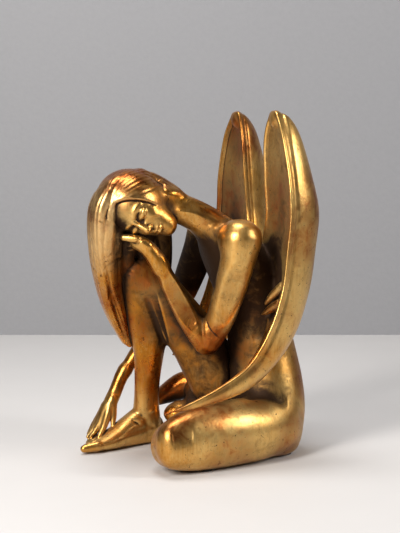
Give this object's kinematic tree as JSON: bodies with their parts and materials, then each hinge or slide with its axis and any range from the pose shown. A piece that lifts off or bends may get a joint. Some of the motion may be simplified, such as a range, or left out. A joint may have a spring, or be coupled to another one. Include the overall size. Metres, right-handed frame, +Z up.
{
  "type": "angel figurine",
  "caption": "Seated resin angel figurine resting its head on a raised knee, with crescent wings, in antique gold leaf finish.",
  "frame": {"origin": "middle of the figurine's outline, on the surface that it stands on", "axes": "+Z up; the figure faces -X; its left side, the side on show, faces -Y"},
  "size_m": [0.1313, 0.1082, 0.204],
  "materials": {
    "antique_gold": "cast resin under antique gold leaf, red-brown rubs on the high edges and dark wax in the recesses",
    "hair_gold": "cast resin under copper-rubbed gold leaf with dark wax between the strands",
    "steel": "plain drawn steel, hidden in the glue joints",
    "plug": "matt dark filler plug",
    "felt": "dark brown felt"
  },
  "bodies": {
    "root": {"body_casting": "antique_gold", "right_leg_casting": "antique_gold", "head_casting": "antique_gold", "hair_casting": "hair_gold", "left_arm_casting": "antique_gold", "right_arm_casting": "antique_gold", "left_wing_casting": "antique_gold", "right_wing_casting": "antique_gold", "neck_dowel": "steel", "hip_dowel": "steel", "shoulder_dowels": "steel", "left_wing_dowels": "steel", "right_wing_dowels": "steel", "left_wing_wire": "steel", "right_wing_wire": "steel", "pour_hole_plug": "plug", "seat_felt_pads": "felt", "knee_felt_pad": "felt", "foot_felt_pad": "felt"}
  },
  "joints": []
}
